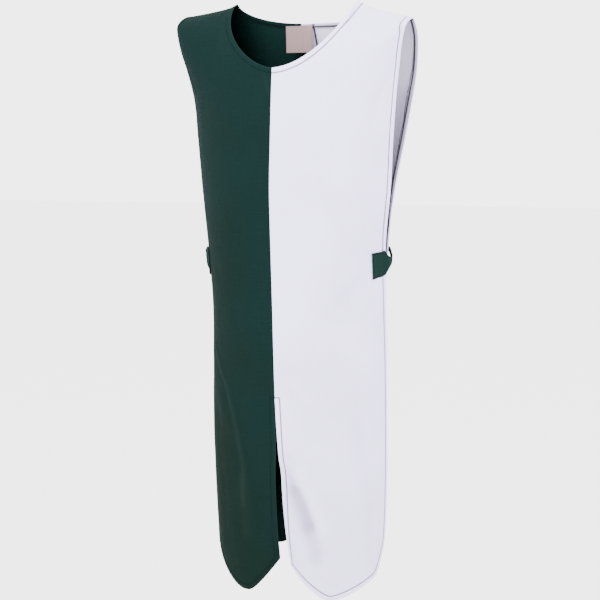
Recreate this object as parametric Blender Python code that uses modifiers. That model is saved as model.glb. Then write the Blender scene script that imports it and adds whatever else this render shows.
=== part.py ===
# A tabard in two colours: green on the wearer's right half, white on the left, front and back.
# Its sides are open from shoulder to hem and a strap holds each side at the waist. The skirt is
# slit at the centre, front and back, and each of its four halves ends in a point.
# Metres. +Z is up, +X is the wearer's left and -Y is the front. The origin is the middle of the
# shoulder line, between the two points where the shoulder seams meet the neck.

import math

import bmesh
import bpy
import numpy as np

# Neck and shoulders. One shoulder hangs a little lower than the other, and the back of the neck
# hangs squarer on that side. Values for one side are kept under 1, the wearer's left, or -1.
NECK_HALF_WIDTH = 0.110
NECK_DROP = {"front": 0.115, "back": 0.0345}
NECK_ROUNDNESS = {"front": {1: 1.8, -1: 1.6}, "back": {1: 6.0, -1: 1.85}}
SHOULDER_HALF_WIDTH = 0.205
SHOULDER_DROP = {1: 0.0325, -1: 0.019}
SHOULDER_DIP = 0.6

# How far below the shoulder seam the cloth has turned down the front or the back
ROLL_AT_NECK = {"front": 0.120, "back": 0.300}
ROLL_AT_TIP = {"front": 0.024, "back": 0.060}
ROLL_EASE = {"front": 0.8, "back": 1.0}

# Cloth, seams and the centre slit
CLOTH = 0.0015
SEAM_GAP = 0.0004
SLIT_TOP = 0.660

# Sections across one half, filled out on a general figure. drop is below the neck points.
# half_width is from the centre to the side edge. edge_y and centre_y are the depths there.
# turn is how far round to the side the cloth faces at its edge, in degrees.
SECTION_COLUMNS = ("drop", "half_width", "edge_y", "centre_y", "turn")
SECTIONS = {
    "front": (
        (0.000, 0.2055, -0.039, -0.102, 80),
        (0.040, 0.2055, -0.040, -0.104, 80),
        (0.080, 0.1980, -0.039, -0.107, 80),
        (0.110, 0.1920, -0.030, -0.110, 76),
        (0.155, 0.1840, -0.020, -0.114, 68),
        (0.230, 0.1770, -0.0175, -0.119, 62),
        (0.310, 0.1712, -0.0134, -0.123, 64),
        (0.400, 0.1623, -0.0107, -0.118, 72),
        (0.500, 0.1580, 0.004, -0.111, 80),
        (0.600, 0.1570, 0.013, -0.105, 85),
        (0.700, 0.1575, 0.015, -0.098, 88),
        (0.800, 0.1570, 0.018, -0.095, 88),
        (0.900, 0.1535, 0.020, -0.089, 88),
        (1.010, 0.1430, 0.022, -0.084, 88),
    ),
    "back": (
        (0.000, 0.2055, 0.058, 0.092, 78),
        (0.040, 0.2055, 0.060, 0.094, 80),
        (0.080, 0.1980, 0.062, 0.099, 80),
        (0.110, 0.1920, 0.066, 0.104, 76),
        (0.170, 0.1820, 0.065, 0.115, 68),
        (0.230, 0.1770, 0.044, 0.123, 62),
        (0.310, 0.1710, 0.012, 0.126, 62),
        (0.400, 0.1620, 0.003, 0.118, 65),
        (0.500, 0.1540, 0.010, 0.108, 69),
        (0.600, 0.1520, 0.018, 0.110, 70),
        (0.700, 0.1520, 0.020, 0.113, 70),
        (0.800, 0.1510, 0.023, 0.108, 70),
        (0.900, 0.1460, 0.025, 0.099, 70),
        (1.000, 0.1340, 0.027, 0.090, 70),
    ),
}

# Half the open width of the slit, and how far its edge curls in towards the wearer
SLIT_COLUMNS = ("drop", "half_gap", "curl")
SLIT_ROWS = (
    (SLIT_TOP, 0.0000, 0.000),
    (0.700, 0.0006, 0.001),
    (0.750, 0.0020, 0.005),
    (0.800, 0.0046, 0.008),
    (0.850, 0.0062, 0.013),
    (0.900, 0.0077, 0.020),
    (0.950, 0.0095, 0.032),
    (1.010, 0.0107, 0.041),
)
CURL_REACH = 0.35
GAP_FADE = 3.0

# The four halves. side is +1 to the wearer's left. Each hem runs from its corner at the slit
# down to the point and up to its foot at the side, where it rounds off by its rise. All four are
# drops but the rise. point_at is the point's place, as a share of the half's width from the slit,
# and a point is blunter where its blunt value is above 1.
HALF_COLUMNS = (
    "name", "face", "side", "corner", "point_at", "point", "foot", "rise", "blunt", "colour"
)
HALVES = (
    ("front_green", "front", -1, 0.944, 0.27, 1.000, 0.899, 0.066, 1.31, "green"),
    ("front_white", "front", 1, 0.955, 0.40, 1.007, 0.962, 0.050, 1.15, "white"),
    ("back_green", "back", -1, 0.915, 0.38, 0.956, 0.912, 0.048, 1.25, "green"),
    ("back_white", "back", 1, 0.915, 0.38, 0.956, 0.912, 0.048, 1.25, "white"),
)
SIDE_CORNER_FROM = 0.75
TIP_ROUND = {"green": 0.13, "white": 0.08}

# The largest folds: soft ridges and troughs from one place to another, as shares of the half's
# width and drops below the neck points. height is out of the cloth, minus for a trough.
FOLD_COLUMNS = ("half", "from_across", "from_drop", "to_across", "to_drop", "spread", "height")
FOLDS = (
    ("front_white", 0.05, 0.79, 0.28, 0.93, 0.020, -0.0060),
    ("front_green", 0.86, 0.59, 0.31, 0.73, 0.020, 0.0030),
    ("front_green", 0.31, 0.73, 0.24, 0.86, 0.020, 0.0025),
    ("back_white", 0.75, 0.60, 0.34, 0.77, 0.022, 0.0035),
    ("back_green", 0.06, 0.76, 0.30, 0.90, 0.020, -0.0050),
)
PANEL_WIDTH = 0.216
FOLD_FADE = 4

# Mesh of one half: columns across, and rows that grow longer below the shoulder seam
NECK_CELLS = 8
SHOULDER_CELLS = 6
FIRST_ROW = 0.005
ROW_GROWTH = 1.35
LONGEST_ROW = 0.028
LONGEST_COLUMN = 0.99
EVEN_BELOW = 0.30

# Side straps, from the end sewn on the front, round the side, to the end sewn on the back.
# top and bottom are drops, and out is how far it stands off the panels. STRAP_SEWN is its sewn
# end, as a share of the half's width. Where it turns the side edges the strap stands out and is
# pinched to a narrow neck.
STRAP_COLUMNS = ("along", "top", "bottom", "out")
STRAP_ROWS = (
    (0.00, 0.4182, 0.4626, 0.0000),
    (0.20, 0.4168, 0.4595, 0.0000),
    (0.36, 0.4155, 0.4575, 0.0000),
    (0.42, 0.4150, 0.4555, 0.0014),
    (0.46, 0.4215, 0.4500, 0.0044),
    (0.50, 0.4262, 0.4400, 0.0068),
    (0.56, 0.4190, 0.4290, 0.0052),
    (0.64, 0.4100, 0.4190, 0.0022),
    (0.72, 0.4095, 0.4185, 0.0000),
    (0.84, 0.4090, 0.4350, 0.0000),
    (1.00, 0.4095, 0.4535, 0.0000),
)
STRAP_SEWN = 0.825
STRAP_CLOTH = 0.0022
STRAP_CELLS = (20, 4)
SMALL_STEP = 0.02

# Neck label, bare
LABEL_WIDTH = 0.049
LABEL_TOP = 0.035
LABEL_HEIGHT = 0.048
LABEL_CLOTH = 0.0010
LABEL_CENTRE_X = -0.004
LABEL_LEAN = 0.15
LABEL_CELLS = (6, 4)

FACE_SIGN = {"front": -1, "back": 1}
MATERIALS = {
    "green": ((0.016, 0.046, 0.038, 1.0), 0.85),
    "white": ((0.80, 0.79, 0.86, 1.0), 0.80),
    "strap": ((0.028, 0.080, 0.068, 1.0), 0.80),
    "label": ((0.52, 0.44, 0.42, 1.0), 0.70),
}


def column_at(rows, columns, name, drop):
    """A column of a table, read smoothly between its rows."""
    places = np.array([row[0] for row in rows])
    values = np.array([row[columns.index(name)] for row in rows])
    slopes = np.gradient(values, places)
    drop = np.clip(drop, places[0], places[-1])
    below = np.clip(np.searchsorted(places, drop) - 1, 0, len(places) - 2)
    step = places[below + 1] - places[below]
    share = (drop - places[below]) / step
    start = values[below] * (1 + 2 * share) * (1 - share) ** 2
    end = values[below + 1] * share**2 * (3 - 2 * share)
    leave = slopes[below] * step * share * (1 - share) ** 2
    arrive = slopes[below + 1] * step * share**2 * (share - 1)
    return start + end + leave + arrive


def smooth_step(share):
    share = np.clip(share, 0, 1)
    return share**2 * (3 - 2 * share)


def seam_drop(side, share):
    """The shoulder seam's drop from the neck to the tip: a line that dips a little."""
    return SHOULDER_DROP[side] * share**SHOULDER_DIP


def panel_point(face, side, across, drop):
    """A point of one half's inner surface, from its share across and its drop, with x outwards."""
    read = {
        name: column_at(SECTIONS[face], SECTION_COLUMNS, name, drop)
        for name in SECTION_COLUMNS[1:]
    }
    turn = np.radians(read["turn"])
    angle = across * turn
    x = read["half_width"] * np.sin(angle) / np.sin(turn)
    bend = (1 - np.cos(angle)) / (1 - np.cos(turn))
    y = read["centre_y"] + (read["edge_y"] - read["centre_y"]) * bend

    # The cloth turns down from the shoulder seam, sharply at the tip and gently at the neck.
    along_seam = (x - NECK_HALF_WIDTH) / (SHOULDER_HALF_WIDTH - NECK_HALF_WIDTH)
    along_seam = np.clip(along_seam, 0, 1)
    roll = ROLL_AT_NECK[face] + (ROLL_AT_TIP[face] - ROLL_AT_NECK[face]) * along_seam
    below_seam = np.clip((drop - seam_drop(side, along_seam)) / roll, 0, 1)
    y = y * np.sin(math.pi / 2 * below_seam ** ROLL_EASE[face])

    # The slit's edge stands off the centre line and curls in.
    gap = column_at(SLIT_ROWS, SLIT_COLUMNS, "half_gap", drop)
    curl = column_at(SLIT_ROWS, SLIT_COLUMNS, "curl", drop)
    x = x + SEAM_GAP / 2 + gap * (1 - across) ** GAP_FADE
    y = y - FACE_SIGN[face] * curl * np.clip(1 - across / CURL_REACH, 0, 1) ** 2
    y = y + FACE_SIGN[face] * SEAM_GAP / 2
    return np.stack([x, y, -drop], axis=-1)


def top_edge(face, side):
    """(across, drop) of each column's top: along the neckline, then along the shoulder seam."""
    power = 2 / NECK_ROUNDNESS[face][side]
    edge = []
    for cell in range(NECK_CELLS + SHOULDER_CELLS + 1):
        if cell <= NECK_CELLS:
            angle = math.pi / 2 * cell / NECK_CELLS
            x = NECK_HALF_WIDTH * math.sin(angle) ** power
            drop = NECK_DROP[face] * max(math.cos(angle), 0) ** power
        else:
            share = (cell - NECK_CELLS) / SHOULDER_CELLS
            x = NECK_HALF_WIDTH + (SHOULDER_HALF_WIDTH - NECK_HALF_WIDTH) * share
            drop = seam_drop(side, share)
        half_width = float(column_at(SECTIONS[face], SECTION_COLUMNS, "half_width", drop))
        turn = math.radians(float(column_at(SECTIONS[face], SECTION_COLUMNS, "turn", drop)))
        across = math.asin(min(x * math.sin(turn) / half_width, math.sin(turn))) / turn
        edge.append((across, drop))
    return edge


def hem_drop(half, across):
    point = half["point_at"]
    tip = TIP_ROUND[half["colour"]]
    full = math.hypot(1, tip) - tip
    inner = (np.hypot(np.clip((point - across) / point, 0, 1), tip) - tip) / full
    outer = (np.hypot(np.clip((across - point) / (1 - point), 0, 1), tip) - tip) / full
    rounded = np.clip((outer - SIDE_CORNER_FROM) / (1 - SIDE_CORNER_FROM), 0, 1)
    to_corner = (half["point"] - half["corner"]) * inner ** half["blunt"]
    to_foot = (half["point"] - half["foot"]) * outer ** half["blunt"]
    return half["point"] - to_corner - to_foot - half["rise"] * rounded**2


def row_shares():
    """How far down each row lies, from 0 at the top edge to 1 at the hem."""
    places = [0.0]
    step = FIRST_ROW
    while places[-1] < LONGEST_COLUMN:
        places.append(places[-1] + step)
        step = min(step * ROW_GROWTH, LONGEST_ROW)
    return [place / places[-1] for place in places]


def fold_height(half, across, drop):
    height = 0.0
    for fold in FOLDS:
        fold = dict(zip(FOLD_COLUMNS, fold))
        if fold["half"] != half["name"]:
            continue
        along_x = (fold["to_across"] - fold["from_across"]) * PANEL_WIDTH
        along_z = fold["to_drop"] - fold["from_drop"]
        from_x = (across - fold["from_across"]) * PANEL_WIDTH
        from_z = drop - fold["from_drop"]
        length = math.hypot(along_x, along_z)
        share = (from_x * along_x + from_z * along_z) / length**2
        away = (from_x * along_z - from_z * along_x) / length
        past = (share - min(max(share, 0), 1)) * length
        height += fold["height"] * math.exp(-(away**2 + past**2) / fold["spread"] ** 2)
    return height


def clear_scene():
    for obj in list(bpy.data.objects):
        bpy.data.objects.remove(obj, do_unlink=True)


def make_material(name):
    colour, roughness = MATERIALS[name]
    material = bpy.data.materials.new(name)
    material.use_nodes = True
    shader = material.node_tree.nodes["Principled BSDF"]
    shader.inputs["Base Color"].default_value = colour
    shader.inputs["Roughness"].default_value = roughness
    shader.inputs["Metallic"].default_value = 0.0
    return material


def cloth_object(name, cells, place, thickness, material, collection):
    """A grid of cells, its points set by place(column, row), made a wall of cloth."""
    columns, rows = cells
    sheet = bmesh.new()
    bmesh.ops.create_grid(sheet, x_segments=columns, y_segments=rows, size=0.5)
    for vertex in sheet.verts:
        column = round((vertex.co.x + 0.5) * columns)
        row = round((0.5 - vertex.co.y) * rows)
        vertex.co = place(column, row)
    mesh = bpy.data.meshes.new(name)
    sheet.to_mesh(mesh)
    sheet.free()
    mesh.shade_smooth()
    mesh.materials.append(material)
    obj = bpy.data.objects.new(name, mesh)
    collection.objects.link(obj)
    wall = obj.modifiers.new("Wall", "SOLIDIFY")
    wall.thickness = thickness
    wall.offset = 1.0
    wall.use_even_offset = False
    return obj


def add_panel(half, material, collection):
    face = half["face"]
    edge = top_edge(face, half["side"])
    shares = row_shares()
    columns = NECK_CELLS + SHOULDER_CELLS

    def place(column, row):
        # Seen from outside, the columns run from left to right, so that faces point outwards.
        outward = half["side"] * FACE_SIGN[face] < 0
        index = column if outward else columns - column
        top_across, top_drop = edge[index]
        even_across = index / columns
        share = shares[row]
        settle = smooth_step(share / EVEN_BELOW)
        across = top_across + (even_across - top_across) * settle
        drop = top_drop + (hem_drop(half, across) - top_drop) * share
        x, y, z = panel_point(face, half["side"], across, np.array(drop))
        y += FACE_SIGN[face] * fold_height(half, across, float(drop)) * (1 - across**FOLD_FADE)
        return half["side"] * x, y, z

    return cloth_object(half["name"], (columns, len(shares) - 1), place, CLOTH, material, collection)


def add_strap(name, side, material, collection):
    """A band sewn on the front and the back near their side edges, bulging a little between."""
    columns, rows = STRAP_CELLS

    def place(column, row):
        along = column / columns if side > 0 else 1 - column / columns
        top = float(column_at(STRAP_ROWS, STRAP_COLUMNS, "top", along))
        bottom = float(column_at(STRAP_ROWS, STRAP_COLUMNS, "bottom", along))
        drop = top + (bottom - top) * row / rows
        face = "front" if along < 0.5 else "back"
        across = STRAP_SEWN + (1 - STRAP_SEWN) * (1 - abs(2 * along - 1))
        near = panel_point(face, side, across, np.array(drop))
        inward = panel_point(face, side, across - SMALL_STEP, np.array(drop))
        run = (near - inward) * -FACE_SIGN[face]
        out = np.array([run[1], -run[0], 0.0]) / math.hypot(run[0], run[1])
        stand = max(float(column_at(STRAP_ROWS, STRAP_COLUMNS, "out", along)), 0)
        x, y, z = near + out * (CLOTH + SEAM_GAP + stand)
        return side * x, y, z

    return cloth_object(name, STRAP_CELLS, place, STRAP_CLOTH, material, collection)


def add_label(material, collection):
    """A square of tape sewn by its top edge inside the back neck. It hangs almost plumb."""
    columns, rows = LABEL_CELLS
    top = panel_point("back", 1, 0.0, np.array(LABEL_TOP))
    low = panel_point("back", 1, 0.0, np.array(LABEL_TOP + LABEL_HEIGHT))

    def place(column, row):
        x = LABEL_CENTRE_X + LABEL_WIDTH * (0.5 - column / columns)
        y = top[1] - SEAM_GAP + (low[1] - top[1]) * LABEL_LEAN * row / rows
        return x, y - LABEL_CLOTH, -LABEL_TOP - LABEL_HEIGHT * row / rows

    return cloth_object("neck_label", LABEL_CELLS, place, LABEL_CLOTH, material, collection)


def main():
    clear_scene()
    collection = bpy.data.collections.new("tabard")
    bpy.context.scene.collection.children.link(collection)
    materials = {name: make_material(name) for name in MATERIALS}
    for row in HALVES:
        half = dict(zip(HALF_COLUMNS, row))
        add_panel(half, materials[half["colour"]], collection)
    add_strap("strap_left", 1, materials["strap"], collection)
    add_strap("strap_right", -1, materials["strap"], collection)
    add_label(materials["label"], collection)


main()
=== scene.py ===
import math

import bpy
import numpy as np
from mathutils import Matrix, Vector, noise
from mathutils.bvhtree import BVHTree


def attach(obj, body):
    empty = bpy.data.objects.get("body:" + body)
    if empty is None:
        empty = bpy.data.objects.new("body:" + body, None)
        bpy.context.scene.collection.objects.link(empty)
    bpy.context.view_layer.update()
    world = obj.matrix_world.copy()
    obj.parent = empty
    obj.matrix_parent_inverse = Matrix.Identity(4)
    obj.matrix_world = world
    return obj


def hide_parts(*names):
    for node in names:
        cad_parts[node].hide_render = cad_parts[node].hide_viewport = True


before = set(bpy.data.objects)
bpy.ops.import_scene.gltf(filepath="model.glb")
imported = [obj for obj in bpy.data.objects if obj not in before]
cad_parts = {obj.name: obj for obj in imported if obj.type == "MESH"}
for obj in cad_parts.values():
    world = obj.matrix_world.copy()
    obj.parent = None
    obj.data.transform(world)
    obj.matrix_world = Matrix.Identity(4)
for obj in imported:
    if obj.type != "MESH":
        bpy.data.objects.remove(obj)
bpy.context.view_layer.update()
print("frame loaded")

cameraView = {
    "turn": 22.0,  # degrees round from the front, towards the wearer's left
    "aim": -0.0944,  # a little to the right of the middle
    "away": 2.575,
    "height": -0.252,
    "downward": 5.600,
    "lens": 90.36,
}


def addCamera():
    turn = math.radians(cameraView["turn"])
    data = bpy.data.cameras.new("photoCamera")
    data.sensor_width = 36
    data.lens = cameraView["lens"]
    camera = bpy.data.objects.new("photoCamera", data)
    away = cameraView["away"]
    camera.location = (away * math.sin(turn), -away * math.cos(turn), cameraView["height"])
    heading = math.radians(cameraView["turn"] + cameraView["aim"])
    camera.rotation_euler = (math.radians(90 - cameraView["downward"]), 0, heading)
    bpy.context.scene.collection.objects.link(camera)
    bpy.context.scene.camera = camera


# The cut of the tabard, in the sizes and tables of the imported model, but for the foot of the green
# front's hem, which is 4 mm higher. What differs from side to side is kept under 1, the wearer's
# left, or -1.
cut = {
    "neckHalfWidth": 0.110,
    "neckDrop": {"front": 0.115, "back": 0.0345},
    "neckRoundness": {"front": {1: 1.8, -1: 1.6}, "back": {1: 6.0, -1: 1.85}},
    "shoulderHalfWidth": 0.205,
    "shoulderDrop": {1: 0.0325, -1: 0.019},
    "shoulderDip": 0.6,
    "rollAtNeck": {"front": 0.120, "back": 0.300},
    "rollAtTip": {"front": 0.024, "back": 0.060},
    "rollEase": {"front": 0.8, "back": 1.0},
    "wall": 0.0015,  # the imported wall, whose outer side the cloth follows
    "seamGap": 0.0001,
    "slitTop": 0.660,
    "curlReach": 0.35,
    "gapFade": 3.0,
    "sideCornerFrom": 0.75,
    "tipRound": {"green": 0.13, "white": 0.08},
    "panelWidth": 0.216,
    "foldFade": 4,
}
sectionNames = ("drop", "halfWidth", "edgeY", "centreY", "turn")
sections = {
    "front": (
        (0.000, 0.2055, -0.039, -0.102, 80),
        (0.040, 0.2055, -0.040, -0.104, 80),
        (0.080, 0.1980, -0.039, -0.107, 80),
        (0.110, 0.1920, -0.030, -0.110, 76),
        (0.155, 0.1840, -0.020, -0.114, 68),
        (0.230, 0.1770, -0.0175, -0.119, 62),
        (0.310, 0.1712, -0.0134, -0.123, 64),
        (0.400, 0.1623, -0.0107, -0.118, 72),
        (0.500, 0.1580, 0.004, -0.111, 80),
        (0.600, 0.1570, 0.013, -0.105, 85),
        (0.700, 0.1575, 0.015, -0.098, 88),
        (0.800, 0.1570, 0.018, -0.095, 88),
        (0.900, 0.1535, 0.020, -0.089, 88),
        (1.010, 0.1430, 0.022, -0.084, 88),
    ),
    "back": (
        (0.000, 0.2055, 0.058, 0.092, 78),
        (0.040, 0.2055, 0.060, 0.094, 80),
        (0.080, 0.1980, 0.062, 0.099, 80),
        (0.110, 0.1920, 0.066, 0.104, 76),
        (0.170, 0.1820, 0.065, 0.115, 68),
        (0.230, 0.1770, 0.044, 0.123, 62),
        (0.310, 0.1710, 0.012, 0.126, 62),
        (0.400, 0.1620, 0.003, 0.118, 65),
        (0.500, 0.1540, 0.010, 0.108, 69),
        (0.600, 0.1520, 0.018, 0.110, 70),
        (0.700, 0.1520, 0.020, 0.113, 70),
        (0.800, 0.1510, 0.023, 0.108, 70),
        (0.900, 0.1460, 0.025, 0.099, 70),
        (1.000, 0.1340, 0.027, 0.090, 70),
    ),
}
slitNames = ("drop", "halfGap", "curl")
slitRows = (
    (0.660, 0.0000, 0.000),
    (0.700, 0.0006, 0.001),
    (0.750, 0.0020, 0.005),
    (0.800, 0.0046, 0.008),
    (0.850, 0.0062, 0.013),
    (0.900, 0.0077, 0.020),
    (0.950, 0.0095, 0.032),
    (1.010, 0.0107, 0.041),
)
halfNames = ("face", "side", "corner", "pointAt", "point", "foot", "rise", "blunt", "slot", "cloth")
halfRows = {
    "front_green": (
        "front", -1, 0.944, 0.27, 1.000, 0.895, 0.066, 1.31, "green_cotton", "greenCotton"),
    "front_white": (
        "front", 1, 0.955, 0.40, 1.007, 0.962, 0.050, 1.15, "white_cotton", "whiteCotton"),
    "back_green": (
        "back", -1, 0.915, 0.38, 0.956, 0.912, 0.048, 1.25, "green_cotton", "greenCotton"),
    "back_white": (
        "back", 1, 0.915, 0.38, 0.956, 0.912, 0.048, 1.25, "white_cotton", "whiteCotton"),
}
halves = {name: dict(zip(halfNames, row)) for name, row in halfRows.items()}
faceSign = {"front": -1, "back": 1}


def columnAt(rows, names, name, drop):
    # a column of a table, read smoothly between its rows
    places = np.array([row[0] for row in rows])
    values = np.array([row[names.index(name)] for row in rows])
    slopes = np.gradient(values, places)
    drop = np.clip(drop, places[0], places[-1])
    below = np.clip(np.searchsorted(places, drop) - 1, 0, len(places) - 2)
    step = places[below + 1] - places[below]
    share = (drop - places[below]) / step
    start = values[below] * (1 + 2 * share) * (1 - share) ** 2
    end = values[below + 1] * share**2 * (3 - 2 * share)
    leave = slopes[below] * step * share * (1 - share) ** 2
    arrive = slopes[below + 1] * step * share**2 * (share - 1)
    return start + end + leave + arrive


def smoothStep(share):
    share = np.clip(share, 0, 1)
    return share**2 * (3 - 2 * share)


def bell(value, width):
    return np.exp(-((value / width) ** 2))


def edgeFall(away, reach):
    return np.clip(1 - away / reach, 0, 1) ** 2


farAway = 9.0  # further than any two places of the tabard
noLength = 1e-14  # a squared length too short to have a direction


def seamDrop(side, share):
    return cut["shoulderDrop"][side] * share ** cut["shoulderDip"]


def panelPoint(face, side, across, drop):
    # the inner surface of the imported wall, with x outwards on both sides
    read = {name: columnAt(sections[face], sectionNames, name, drop) for name in sectionNames[1:]}
    turn = np.radians(read["turn"])
    angle = across * turn
    x = read["halfWidth"] * np.sin(angle) / np.sin(turn)
    bend = (1 - np.cos(angle)) / (1 - np.cos(turn))
    y = read["centreY"] + (read["edgeY"] - read["centreY"]) * bend
    shoulder = cut["shoulderHalfWidth"] - cut["neckHalfWidth"]
    alongSeam = np.clip((x - cut["neckHalfWidth"]) / shoulder, 0, 1)
    atNeck, atTip = cut["rollAtNeck"][face], cut["rollAtTip"][face]
    roll = atNeck + (atTip - atNeck) * alongSeam
    belowSeam = np.clip((drop - seamDrop(side, alongSeam)) / roll, 0, 1)
    y = y * np.sin(math.pi / 2 * belowSeam ** cut["rollEase"][face])
    gap = columnAt(slitRows, slitNames, "halfGap", drop)
    curl = columnAt(slitRows, slitNames, "curl", drop)
    x = x + cut["seamGap"] / 2 + gap * (1 - across) ** cut["gapFade"]
    y = y - faceSign[face] * curl * np.clip(1 - across / cut["curlReach"], 0, 1) ** 2
    y = y + faceSign[face] * cut["seamGap"] / 2
    return np.stack([x, y, -drop], axis=-1)


def hemDrop(half, across):
    point = half["pointAt"]
    inner = np.clip((point - across) / point, 0, 1)
    outer = np.clip((across - point) / (1 - point), 0, 1)
    tip = cut["tipRound"][half["slot"].split("_")[0]]
    inner, outer = ((np.hypot(part, tip) - tip) / (math.hypot(1, tip) - tip)
                    for part in (inner, outer))
    rounded = np.clip((outer - cut["sideCornerFrom"]) / (1 - cut["sideCornerFrom"]), 0, 1)
    toCorner = (half["point"] - half["corner"]) * inner ** half["blunt"]
    toFoot = (half["point"] - half["foot"]) * outer ** half["blunt"]
    return half["point"] - toCorner - toFoot - half["rise"] * rounded**2


# How fine the cloth is: small cells where the hems are turned, larger ones between
weft = {"edgeCell": 0.0016, "edgeCells": 9, "cell": 0.0044}
warp = {"topCell": 0.0020, "topCells": 60, "cell": 0.0036, "hemCell": 0.0016, "hemCells": 9,
        "length": 0.95, "settledBy": 0.30}
topCut = {"shoulderShare": 0.42, "shoulderEase": 1.25, "fineSteps": 2000}


def acrossPlaces():
    width = cut["panelWidth"]
    fine = weft["edgeCell"] * np.arange(weft["edgeCells"] + 1)
    count = 2 + int((width - 2 * fine[-1]) / weft["cell"])
    middle = np.linspace(fine[-1], width - fine[-1], count)
    return np.concatenate([fine[:-1], middle, width - fine[::-1][1:]]) / width


def rowPlaces():
    steps = [warp["topCell"]] * warp["topCells"]
    lowest = [warp["hemCell"]] * warp["hemCells"]
    count = int((warp["length"] - sum(steps) - sum(lowest)) / warp["cell"])
    steps = steps + [warp["cell"]] * count + lowest
    return np.concatenate([[0], np.cumsum(steps)]) / sum(steps)


def topEdge(face, side, columns):
    # each column's top: evenly along the neckline, then along the shoulder seam
    shoulderCells = round(columns * topCut["shoulderShare"])
    neckCells = columns - shoulderCells
    angle = np.linspace(0, math.pi / 2, topCut["fineSteps"])
    power = 2 / cut["neckRoundness"][face][side]
    fineX = cut["neckHalfWidth"] * np.sin(angle) ** power
    fineDrop = cut["neckDrop"][face] * np.clip(np.cos(angle), 0, 1) ** power
    lengths = np.concatenate([[0], np.cumsum(np.hypot(np.diff(fineX), np.diff(fineDrop)))])
    even = np.linspace(0, lengths[-1], neckCells + 1)
    neckX, neckDrop = np.interp(even, lengths, fineX), np.interp(even, lengths, fineDrop)
    share = 1 - np.linspace(1, 0, shoulderCells + 1)[1:] ** topCut["shoulderEase"]
    shoulderX = cut["neckHalfWidth"] + (cut["shoulderHalfWidth"] - cut["neckHalfWidth"]) * share
    x = np.concatenate([neckX, shoulderX])
    drop = np.concatenate([neckDrop, seamDrop(side, share)])
    halfWidth = columnAt(sections[face], sectionNames, "halfWidth", drop)
    turn = np.radians(columnAt(sections[face], sectionNames, "turn", drop))
    across = np.arcsin(np.minimum(x * np.sin(turn) / halfWidth, np.sin(turn))) / turn
    return across, drop, neckCells


# Folds and creases laid one by one. Each goes through its places, given as a share across the half
# and a drop, is as wide as its spread, and stands out by its height, or lies in where that is
# less than nothing. The first ones are also in the imported model.
packedFolds = (
    ("front_white", ((0.05, 0.79), (0.28, 0.93)), 0.020, -0.0060),
    ("front_green", ((0.86, 0.59), (0.31, 0.73)), 0.020, 0.0030),
    ("front_green", ((0.31, 0.73), (0.24, 0.86)), 0.020, 0.0025),
    ("back_white", ((0.75, 0.60), (0.34, 0.77)), 0.022, 0.0035),
    ("back_green", ((0.06, 0.76), (0.30, 0.90)), 0.020, -0.0050),
)
creases = (
    ("front_green", ((0.686, 0.577), (0.439, 0.649), (0.312, 0.724), (0.262, 0.783), (0.26, 0.85)),
     0.0036, 0.0021),
    ("front_green", ((0.26, 0.80), (0.255, 0.90)), 0.0080, 0.0009),
    ("front_green", ((0.047, 0.125), (0.023, 0.156)), 0.0035, 0.0010),
    ("front_green", ((0.93, 0.075), (0.80, 0.145)), 0.0080, -0.0016),
    ("front_green", ((0.09, 0.80), (0.13, 0.90)), 0.0060, -0.0008),
    ("front_green", ((0.60, 0.70), (0.52, 0.83), (0.50, 0.92)), 0.0140, -0.0012),
    ("front_green", ((0.36, 0.955), (0.62, 0.945)), 0.0050, 0.0007),
    ("front_white", ((0.095, 0.822), (0.15, 0.847), (0.20, 0.880)), 0.0125, -0.0065),
    ("front_white", ((0.20, 0.885), (0.235, 0.912), (0.26, 0.935)), 0.0120, -0.0026),
    ("front_white", ((0.030, 0.785), (0.085, 0.812)), 0.0050, -0.0022),
    ("front_white", ((0.16, 0.790), (0.25, 0.838), (0.31, 0.885)), 0.0130, 0.0024),
    ("front_white", ((0.15, 0.636), (0.253, 0.665)), 0.0060, 0.0016),
    ("front_white", ((0.065, 0.757), (0.115, 0.768)), 0.0035, -0.0016),
    ("front_white", ((0.065, 0.793), (0.105, 0.801)), 0.0035, -0.0014),
    ("front_white", ((0.065, 0.889), (0.120, 0.897)), 0.0035, -0.0014),
    ("front_white", ((0.242, 0.962), (0.454, 0.982)), 0.0045, -0.0009),
    ("front_white", ((0.88, 0.44), (0.62, 0.47), (0.40, 0.52)), 0.0120, -0.0010),
    ("front_white", ((0.60, 0.70), (0.72, 0.84), (0.74, 0.93)), 0.0160, -0.0012),
    ("front_white", ((0.92, 0.10), (0.78, 0.17)), 0.0090, -0.0010),
    ("back_white", ((0.84, 0.43), (0.60, 0.47), (0.42, 0.53)), 0.0110, -0.0012),
    ("back_white", ((0.10, 0.81), (0.22, 0.87), (0.26, 0.93)), 0.0080, -0.0016),
    ("back_white", ((0.66, 0.74), (0.70, 0.86)), 0.0150, 0.0012),
    ("back_white", ((0.05, 0.10), (0.16, 0.17)), 0.0120, -0.0010),
    ("back_green", ((0.85, 0.43), (0.66, 0.48), (0.48, 0.56)), 0.0110, -0.0012),
    ("back_green", ((0.62, 0.62), (0.50, 0.74), (0.46, 0.86)), 0.0070, 0.0015),
    ("back_green", ((0.12, 0.78), (0.30, 0.90)), 0.0080, -0.0014),
    ("back_green", ((0.04, 0.11), (0.20, 0.19)), 0.0120, -0.0010),
)


def foldHeight(name, across, drop, table):
    height = np.zeros_like(across)
    for half, places, spread, rise in table:
        if half != name:
            continue
        nearest = np.full_like(across, farAway)
        for start, end in zip(places[:-1], places[1:]):
            alongX = (end[0] - start[0]) * cut["panelWidth"]
            alongZ = end[1] - start[1]
            fromX = (across - start[0]) * cut["panelWidth"]
            fromZ = drop - start[1]
            share = np.clip((fromX * alongX + fromZ * alongZ) / (alongX**2 + alongZ**2), 0, 1)
            away = np.hypot(fromX - share * alongX, fromZ - share * alongZ)
            nearest = np.minimum(nearest, away)
        height += rise * bell(nearest, spread)
    return height


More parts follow.
